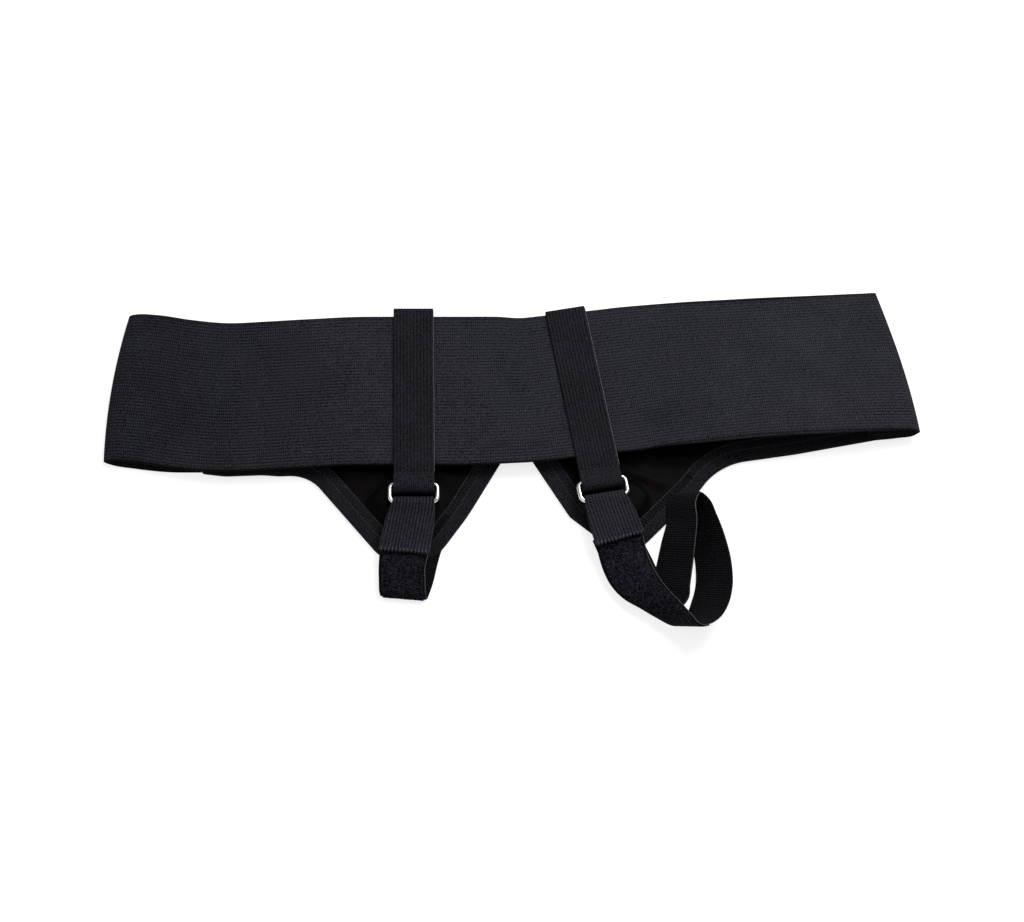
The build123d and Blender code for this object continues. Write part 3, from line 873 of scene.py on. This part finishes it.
def makeBinding(side, panel):
    # folded edge tape, ribbed on its outer half and smooth under the zigzag on its inner half
    top = cloths["stack"] + tape["thick"]
    wide = tape["width"]
    # inset from the outline and height, from the tape's lower edge round the panel's rim
    section = [(wide - 0.9, 0.5), (wide - 1.6, 0.12), (wide - 3, 0.06), (8, 0.05), (5, 0.05), (2.6, 0.06),
               (1.2, 0.14), (0.45, 0.5), (0.1, 1.0), (0.0, 1.45), (0.1, 1.9), (0.4, 2.35), (0.9, 2.62)]
    rim = section.index((0.0, 1.45))
    depth = tape["ribsFrom"]
    while depth < wide / 2:
        ridge = tape["ribHeight"] * abs(sin(pi * (depth - tape["ribsFrom"]) / tape["ribPitch"]))
        section.append((depth, top - tape["ribHeight"] + ridge))
        depth += tape["ribPitch"] / 5
    section += [(wide / 2 + 0.5, top - 0.12), (wide / 2 + 2, top - 0.1), (wide - 3, top - 0.1),
                (wide - 1.2, top - 0.12), (wide - 0.5, top - 0.3), (wide - 0.2, top - 0.75)]
    edge = Piece()
    rings = [insetRing(panel["outline"], d) for d, _ in section]
    size = len(rings[0])
    travel = [0.0]
    for a, b in zip(rings[rim], rings[rim][1:]):
        travel.append(travel[-1] + hypot(b[0] - a[0], b[1] - a[1]))
    for ring, (d, z) in zip(rings, section):
        for (x, y), far in zip(ring, travel):
            level = seated(z, panel, x, y, cloths["seatTop"]) if z < 1.8 else z
            wave = 0.12 * noise.noise(Vector((x, y, 2.0)) * 0.12) if z > 2 else 0.0
            edge.points.append(place(x, y, level + wave + lapLift(panel, x)))
            edge.weave.append((d / 1000, far / 1000))
    for level in range(len(rings)):
        edge.span(level * size, (level + 1) % len(rings) * size, [0] * size)
    fit(edge.make(f"{side}PanelBinding", finishes["binding"]), "belt", "binding", f"{side}_panel_binding")

    def stitchLine(inset, pitch, rise):
        ring = insetRing(panel["outline"], inset, pitch)
        return [place(x, y, top + rise + lapLift(panel, x)) for x, y in ring]

    seam = Piece()
    outerLine = stitchLine(wide / 2 + 0.8, 1.4, tape["zigRise"])
    innerLine = stitchLine(wide - 1.3, 1.4, tape["zigRise"])
    zigzag = [pair[(index + 1) % 2] for index, pair in enumerate(zip(outerLine, innerLine))]
    seam.tube(zigzag, tape["zigThread"], sides=5)
    for inset in (wide / 2 + 0.6, wide - 0.8):
        seam.tube(stitchLine(inset, 1.25, 0.0), tape["edgeThread"], sides=5)
    fit(seam.make(f"{side}BindingSeam", finishes["zigThread"]), "belt", "thread")


for side in panels:
    makePanel(side)
    print(side, "panel made")


# Centre bridge between the panels

bridge = {"left": -18.0, "right": 20.0, "middle": 48.0, "height": 45.0, "bottom": 2.85, "thick": 1.4, "dip": 0.1,
          "ribs": 20, "ribHeight": 0.00018, "spacing": 1.5,
          "seams": (-13.5, 15.5), "seamHalf": 20, "stitches": 14, "stitchHalf": 0.9, "thread": 0.0002}


def makeBridge():
    middle, height = bridge["middle"], bridge["height"]
    level = bridge["bottom"] + bridge["thick"] / 2
    rows = layRows([(bridge["left"] + 0.2, middle, level, -90, 0, height),
                    (1, middle, level - bridge["dip"], -90, 0, height),
                    (bridge["right"] - 0.2, middle, level, -90, 0, height)], bridge["spacing"])
    body = Piece()
    ridge = ribs(bridge["ribs"], bridge["ribHeight"])
    body.band(rows, height / 1000, bridge["thick"] / 1000, ridge, ridge)
    for x in bridge["seams"]:
        for step in range(bridge["stitches"] + 1):
            y = middle - bridge["seamHalf"] + 2 * bridge["seamHalf"] * step / bridge["stitches"]
            a, b = (place(x, y + reach, bridge["bottom"] + bridge["thick"] + 0.15)
                    for reach in (-bridge["stitchHalf"], bridge["stitchHalf"]))
            body.tube([a, (a + b) / 2 + Vector((0, 0, 0.00012)), b], bridge["thread"], slot=1)
    band = body.make("centreBridge", finishes["webbing"], finishes["thread"])
    fit(band, "belt", "webbing", "centre_bridge")


makeBridge()
print("bridge made")


# Loops that slide on the elastic, each with its ring

class Plane:
    # a flat place with its own across, along and up
    def __init__(self, origin, across, up):
        self.origin = origin
        self.across = across.normalized()
        self.up = up.normalized()
        self.along = self.up.cross(self.across)

    def point(self, u, s, h):
        return self.origin + (self.across * u + self.along * s + self.up * h) * layout["unit"]

    def direction(self, turn):
        return self.across * cos(radians(turn)) + self.along * sin(radians(turn))

    def pitched(self, along, angle):
        # the same place further along, tipped down away from the belt
        tipped = self.along * cos(radians(angle)) + self.up * sin(radians(angle))
        return Plane(self.point(0, along, 0), self.across, self.across.cross(tipped))


loops = {
    "width": 25.2, "thick": 1.38, "ribs": 12, "ribHeight": 0.00016, "half": 0.75, "elastic": 103.0, "rise": 1.85,
    "seamTop": -3.5, "seamBottom": -5.5, "pocketRise": 2.5, "pocket": 8.3, "bar": -10.9,
    "stitches": 9, "stitchSpan": 25.4, "stitchLow": -4.7, "stitchHigh": -4.3, "stitchRise": 1.62,
    "thread": 0.00023, "edgeThread": 0.00024,
    # drop: how far the loop hangs below the elastic. turn and tilt: how the elastic lies under it
    "left": {"drop": 1.3, "slack": 5.0, "lean": 0.019, "turn": 0, "ringPitch": 0, "on": (-60.2, 43.7, 10.75)},
    "right": {"drop": 5.8, "slack": 7.2, "lean": 0.0, "turn": 7, "ringPitch": 5, "on": (14, 45.5, 9.2),
              "along": 29, "tilt": 3, "skew": 3.1},
}
wireRing = {"halfWidth": 14.6, "halfHeight": 6.6, "wire": 2.8, "top": 6.0, "bottom": 3.5, "steps": 128, "sides": 14}


def leftPlane():
    x, y, z = loops["left"]["on"]
    low = y - loops["elastic"] / 2 - loops["left"]["drop"]
    return Plane(place(x, low, z), Vector((1, 0, 0)), Vector((0, 0, 1)))


def rightPlane():
    side = loops["right"]
    way = heading(side["turn"])
    up = -heading(side["turn"] - 90, side["tilt"])
    skew = radians(side["skew"])
    along = up * cos(skew) - way * sin(skew)
    middle = place(*side["on"]) + way * (side["along"] / 1000)
    down = loops["elastic"] / 2000 / cos(skew) + side["drop"] / 1000
    return Plane(middle - along * down, way * cos(skew) + up * sin(skew), way.cross(up))


loopPlanes = {"left": leftPlane(), "right": rightPlane()}
ringPlanes = {side: plane.pitched(loops["bar"], loops[side]["ringPitch"]) for side, plane in loopPlanes.items()}


def loopPath(top):
    # the webbing's middle: up the front, over the top, down the back and round the ring's bar
    rise, pocket, half = loops["rise"], loops["pocketRise"], loops["half"]
    seamTop, seamBottom = loops["seamTop"], loops["seamBottom"]
    low = seamBottom - loops["pocket"]
    turn = range(0, 181, 20)
    path = [(-4.9, half + 0.1), (seamTop, half + 0.15), (-1.4, rise - 0.15), (1.5, rise)]
    path += [(s, rise) for s in range(5, int(top) - 2, 3)]
    path += [(top + rise * sin(radians(a)), rise * cos(radians(a))) for a in turn]
    path += [(s, -rise) for s in range(int(top) - 4, 3, -4)]
    path += [(1.5, -rise), (-1.4, -rise + 0.15), (seamTop, -half), (seamBottom, -half)]
    path += [(-7.6, -pocket + 0.15), (-9.5, -pocket), (low + 1, -pocket)]
    path += [(low - pocket * sin(radians(a)), -pocket * cos(radians(a))) for a in turn]
    path += [(low + 1, pocket), (-9.5, pocket), (-7.6, pocket - 0.15)]
    path += [(seamBottom - 0.2, half + 0.25), (-4.95, half + 0.1)]
    return path


def makeLoop(side):
    plane = loopPlanes[side]
    lean = loops[side]["lean"]
    top = loops["elastic"] + loops[side]["slack"] - loops["rise"] + loops["half"]
    width, thick = loops["width"] / 1000, loops["thick"] / 1000
    path = loopPath(top)
    rows = finishRows([Row(plane.point(-max(s, 0) * lean, s, h), plane.across, width) for s, h in path])
    low = next(i for i, (s, h) in enumerate(path) if s < -7 and h < 0)       # where the pocket starts
    body = Piece()
    ridge = ribs(loops["ribs"], loops["ribHeight"])
    body.band(rows[:low + 1], width, thick, ridge, ridge, pitch=0.00035, caps=(True, False))
    fine = ribs(loops["ribs"] * 2, loops["ribHeight"] * 0.5)
    body.band(rows[low:], width, thick, fine, fine, slots=(1, 1), pitch=0.0005, caps=(False, True))
    front = rows[1:int(top / 3) + 3]
    # a light cord down the right edge of the front: painted highlight where the webbing's edge catches the light
    body.tube([row.edge(1, 0.0001, 0.0006) for row in front], loops["edgeThread"], slot=2)
    webbing = body.make(f"{side}Loop", finishes["webbing"], finishes["twill"], finishes["edgeThread"])
    fit(webbing, f"{side}_slider", "webbing", f"{side}_slider_loop")

    seam = Piece()
    count = loops["stitches"]
    pitch = loops["stitchSpan"] / count
    for index in range(count):
        u = (index - (count - 1) / 2) * pitch
        for face in (1, -1):
            a = plane.point(u - pitch * 0.33, loops["stitchLow"], face * loops["stitchRise"])
            b = plane.point(u + pitch * 0.33, loops["stitchHigh"], face * loops["stitchRise"])
            sink, swell = plane.up * (0.0002 * face), plane.up * (0.00016 * face)
            seam.tube([a - sink, a, (a + b) / 2 + swell, b, b - sink], loops["thread"])
    fit(seam.make(f"{side}LoopSeam", finishes["thread"]), f"{side}_slider", "thread", f"{side}_slider_stitches")


def makeRing(side):
    # round wire bent to a soft oblong, with its bars inside the webbing and the strap
    plane = ringPlanes[side]

    def bend(share):
        across, along = cos(2 * pi * share), sin(2 * pi * share)
        power = 2 / (wireRing["top"] if along > 0 else wireRing["bottom"])
        u = abs(across)**power * (1 if across > 0 else -1)
        s = abs(along)**power * (1 if along > 0 else -1)
        return plane.point(u * wireRing["halfWidth"], (s - 1) * wireRing["halfHeight"], 0)

    wire = Piece()
    count, sides = wireRing["steps"], wireRing["sides"]
    for k in range(count):
        ahead = (bend((k + 0.5) / count) - bend((k - 0.5) / count)).normalized()
        inward = plane.up.cross(ahead)
        for j in range(sides):
            angle = 2 * pi * j / sides
            spoke = (inward * cos(angle) + plane.up * sin(angle)) * wireRing["wire"] / 2000
            wire.points.append(bend(k / count) + spoke)
            wire.weave.append((j / 1000, k / 1000))
    for k in range(count):
        wire.span(k * sides, (k + 1) % count * sides, [0] * sides, turned=True)
    fit(wire.make(f"{side}Ring", finishes["metal"]), f"{side}_ring", "ring", f"{side}_ring")


for side in loopPlanes:
    makeLoop(side)
    makeRing(side)
print("loops and rings made")


# Strap ends, folded back through the rings

ends = {
    "width": 29.0, "gathered": 25.2, "gather": 14, "spread": 1.5, "spreadFrom": 15.0, "turnLength": 12,
    "thick": 1.25, "pile": 26.0, "pileThick": 0.9, "hookThick": 0.8, "gap": 0.3, "clear": 0.65,
    "barSpacing": 13.2, "wrapRise": 2.35, "wrapSlack": 1.2, "foldBack": 7.0, "hookLead": 6.0,
    "ribs": 13, "ribHeight": 0.00024, "tipSteps": 22, "tipBow": 0.25, "tipRaise": 0.5, "tipFlare": 1.5,
    "tipTaper": 0.9, "stitches": 13, "stitchThread": 0.00028, "edgeThread": 0.0002,
    # square: how far the cut end turns square to the ring
    "left": {"tip": 25.2, "head": 25.8, "lean": -9.5, "square": 0.5},
    "right": {"tip": 20.2, "head": 18.3, "lean": 8.0, "square": 0.15},
}


class StrapEnd:
    # places on one strap end, by distance below the ring's lower bar
    def __init__(self, side):
        self.plane = ringPlanes[side]
        self.lean = ends[side]["lean"]
        self.travel = heading(loops[side]["turn"])
        self.low = -ends["wrapRise"]
        self.tipStart = ends["foldBack"] + ends["gap"]
        self.tipEnd = self.tipStart + ends[side]["tip"]
        self.tipLevel = self.low + ends["clear"] + ends["pileThick"] + ends["hookThick"] + ends["gap"]
        # the head ends in a cut along the loop's travel
        self.cut = self.row(self.tipStart + ends[side]["head"] + 0.2, self.low).centre
        self.cutShare = self.travel.dot(self.plane.direction(self.lean))

    def width(self, back):
        wide = ends["gathered"] + (ends["width"] - ends["gathered"]) * min(max(back / ends["gather"], 0), 1)
        if back > ends["spreadFrom"]:
            wide += ends["spread"] * (back - ends["spreadFrom"]) / (self.tipEnd - ends["spreadFrom"])
        return wide / 1000

    def row(self, back, height, share=1.0, width=None):
        aside = max(back, 0) * sin(radians(self.lean))
        down = back * cos(radians(self.lean))
        across = self.plane.direction(self.lean * min(max(share, 0), 1))
        return Row(self.plane.point(aside, -ends["barSpacing"] - down, height), across, width or self.width(back))


def makeHead(side, end):
    rise, slack = ends["wrapRise"], ends["wrapSlack"]
    width, thick, pile, pileThick = (ends[key] / 1000 for key in ("width", "thick", "pile", "pileThick"))
    cutWidth = width / end.cutShare
    last = end.tipStart + ends[side]["head"] - 2
    backs = [back for back in (30, 26, 22, 18, 14, 10, 6, 3, 0) if back < last] + [-slack]
    share = ends["turnLength"]
    rows = [Row(end.cut, end.travel, cutWidth)]
    rows += [end.row(back, end.low, back / share, min(end.width(min(back, ends["gather"])), width))
             for back in backs]
    for angle in range(-75, 76, 15):
        swing = radians(angle)
        forward = slack - ends["barSpacing"] + rise * cos(swing)
        rows.append(Row(end.plane.point(0, forward, rise * sin(swing)), end.plane.across, ends["gathered"] / 1000))
    rows += [end.row(-slack, rise, 0, 0.0255), end.row(1.5, rise, 0.1, 0.0262)]
    finishRows(rows)
    head = Piece()
    ridge = ribs(ends["ribs"], ends["ribHeight"])
    head.band(rows, width, thick, ridge, ridge, pitch=0.0005)
    pileRows = [Row(rows[0].centre, end.travel, cutWidth + (ends["pile"] - ends["width"]) / 1000)]
    pileRows += [end.row(back, end.low, back / share, pile) for back in backs if back > 8]
    head.band(finishRows(pileRows), pile, pileThick, slots=(1, 1), lift=(ends["thick"] + ends["pileThick"]) / 2000)
    headPiece = head.make(f"{side}StrapHead", finishes["strapRib"], finishes["pile"])
    fit(headPiece, f"{side}_ring", "strap", f"{side}_strap_head", f"{side}_head_pile")


def makeTip(side, end):
    rise, level = ends["wrapRise"], end.tipLevel + ends["clear"]
    rows = [end.row(1.5, rise, 0.1, 0.0262), end.row(3.5, rise * 0.75 + level * 0.25, 0.28, 0.0275),
            end.row(5.5, rise * 0.3 + level * 0.7, 0.45, 0.0282)]
    steps = ends["tipSteps"]
    for step in range(steps + 1):
        back = end.tipStart + (end.tipEnd - end.tipStart) * step / steps
        curl = ends["tipBow"] * sin(pi * step / steps) + ends["tipRaise"] * eased((step - 16) / 6)
        wide = end.width(back) + ends["tipFlare"] / 1000 - ends["tipTaper"] / 1000 * step / steps
        share = min(back / ends["turnLength"], 1) * (1 - ends[side]["square"] * eased((step - 10) / 12))
        rows.append(end.row(back, level + curl, share, wide))
    finishRows(rows)
    tip = Piece()
    ridge = ribs(ends["ribs"], ends["ribHeight"])
    tip.band(rows, ends["width"] / 1000, ends["thick"] / 1000, ridge, ridge, pitch=0.00036)
    # overlock stitches round the cut end, and a thread down one edge
    last = rows[-1]
    ahead = last.outward.cross(last.across)
    high = last.outward * -(ends["thick"] / 2000 + 0.0003)
    for index in range(ends["stitches"]):
        share = (index + 0.5) / ends["stitches"] * 2 - 1
        foot = last.centre + last.across * (share * last.width / 2 * 0.96)
        a, b, c = foot - ahead * 0.0016 + high, foot - ahead * 0.0002 + high * 1.05, foot + ahead * 0.0003
        tip.tube([a - high * 0.35, a, b, c, c - high * 0.9], ends["stitchThread"], slot=1)
    tip.tube([row.edge(1, 0.0001, -0.0004) for row in rows], ends["edgeThread"], slot=2)
    tipPiece = tip.make(f"{side}StrapTip", finishes["strapRib"], finishes["greyThread"], finishes["thread"])
    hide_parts(f"{side}_strap_tip", f"{side}_tip_stitches")
    end.row(3.5, level).centre
    end.row(11.5, level).centre
    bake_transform(tipPiece)


def makeHook(side, end):
    pile, thick = ends["pile"] / 1000, ends["hookThick"]
    hook = Piece()
    backs = (end.tipStart + ends["hookLead"], end.tipEnd - 8, end.tipEnd - 4, end.tipEnd - 1)
    rows = finishRows([end.row(back, end.tipLevel - thick / 2 + 0.02, 1, pile) for back in backs])
    hook.band(rows, pile, thick / 1000 - 0.0001, pitch=0.0012)
    fit(hook.make(f"{side}TipHookPatch", finishes["hook"]), f"{side}_tip", "hook", f"{side}_tip_hook")


# Leg straps. Each station is x, y, z, and the turn and tilt of the width

legs = {
    "webbing": 29.0, "thick": 1.25, "pile": 26.0, "pileThick": 0.9, "spacing": 1.6, "ribs": 15, "ribHeight": 0.0001,
    "fuzz": 0.00022, "edgeThread": 0.00022,
    # back from the head: where the strap's near piece ends, where its middle piece ends, and where its pile starts
    # edge: the finish of the cord down the strap's right edge, a painted highlight where that edge catches the
    # light
    "left": {"width": 28.0, "bends": 5.0, "follows": 34.0, "pileFrom": 26.0, "edge": "greyThread", "route": [
        (-55.0, -50.0, 0.95, -14, 0), (-58.8, -65.0, 0.95, -14, 0), (-62.0, -79.5, 0.72, -12, 0),
        (-64.8, -88.6, 0.85, -8, 0), (-65.7, -91.2, 2.4, -5, 0), (-66.1, -89.6, 4.0, -3, 0),
        (-66.5, -82.5, 6.0, -1, 0), (-66.7, -75.0, 7.6, 0, 0),
    ]},
    "right": {"width": 28.6, "bends": 9.0, "follows": 58.0, "pileFrom": 78.0, "edge": "edgeThread", "route": [
        (62.6, -48.5, 0.95, 22, 0), (69.0, -64.0, 0.95, 20, 0), (71.6, -69.5, 0.95, 17, 0),
        (75.2, -78.9, 2.1, 12, 5), (80.2, -87.8, 4.7, 2, 16), (85.4, -95.3, 7.8, -10, 27),
        (90.8, -98.1, 9.3, -18, 33), (95.0, -93.6, 10.2, -22, 36), (96.4, -84.8, 10.2, -23, 37),
        (98.8, -72.0, 10.6, -24, 40), (101.0, -59.7, 14.1, -24, 44), (103.4, -46.4, 15.2, -24, 50),
        (103.8, -33.2, 15.2, -24, 52), (106.0, -28.8, 15.4, -24, 50), (109.6, -31.7, 14.6, -23, 46),
        (114.0, -41.4, 12.0, -21, 43), (119.0, -57.2, 10.7, -20, 42), (121.8, -73.6, 10.5, -20, 41),
        (121.5, -88.2, 10.1, -21, 40), (118.6, -98.6, 10.3, -23, 40), (114.7, -106.5, 11.3, -27, 45),
        (110.0, -111.2, 12.3, -30, 51), (104.8, -112.4, 13.4, -27, 50), (97.2, -107.9, 14.2, -16, 42),
        (89.2, -100.8, 13.6, -6, 33), (80.6, -92.8, 11.8, 4, 24), (73.8, -83.0, 9.7, 11, 16),
        (69.3, -72.6, 8.3, 15, 7),
    ]},
}


def fuzz(across, along, width):
    return legs["fuzz"] * noise.noise(Vector((across, along, 0.3)) * 900)


def makeLeg(side, end):
    leg = legs[side]
    width, thick, pile, pileThick = (legs[key] / 1000 for key in ("webbing", "thick", "pile", "pileThick"))
    last = end.cut / layout["unit"] - Vector(layout["zero"])
    stations = [(*s, leg["width"]) for s in leg["route"]]
    stations.append((last.x, last.y, last.z, loops[side]["turn"], 0, ends["width"] / end.cutShare))
    rows = layRows(stations, legs["spacing"])

    def mark(back):
        return min(range(len(rows)), key=lambda k: abs(rows[k].length - (rows[-1].length - back / 1000)))

    bends, follows, pileFrom = mark(leg["bends"]), mark(leg["follows"]), mark(leg["pileFrom"])
    lift = (thick + pileThick) / 2 + 0.0001
    knit = ribs(legs["ribs"], legs["ribHeight"])
    pieces = {}
    for name, low, high in (("Near", bends, len(rows) - 1), ("Middle", follows, bends), ("Far", 0, follows)):
        strap = Piece()
        part = rows[low:high + 1]
        strap.band(part, width, thick, knit, knit, pitch=0.0005, caps=(low == 0, high == len(rows) - 1))
        if high > pileFrom:
            pileRows = [row.widened(pile - width) for row in rows[max(low, pileFrom):high + 1]]
            strap.band(pileRows, pile, pileThick, fuzz, None, slots=(1, 1), pitch=0.0007, lift=lift)
        # the right edge's cord is painted highlight, and the left edge's cord takes the strap's own knit finish
        for edge, slot in ((1, 2), (-1, 0)):
            strap.tube([row.edge(edge, 0.0001, 0.0003) for row in part], legs["edgeThread"], slot=slot)
        pieces[name] = strap.make(f"{side}LegStrap{name}", finishes["strapKnit"], finishes["pile"],
                                  finishes[leg["edge"]])
    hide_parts(f"{side}_leg_strap", f"{side}_strap_pile")
    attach(pieces["Far"], "belt")
    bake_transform(pieces["Middle"])
    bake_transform(pieces["Near"])


for side in loopPlanes:
    end = StrapEnd(side)
    makeHead(side, end)
    makeTip(side, end)
    makeHook(side, end)
    makeLeg(side, end)
    print(side, "strap made")
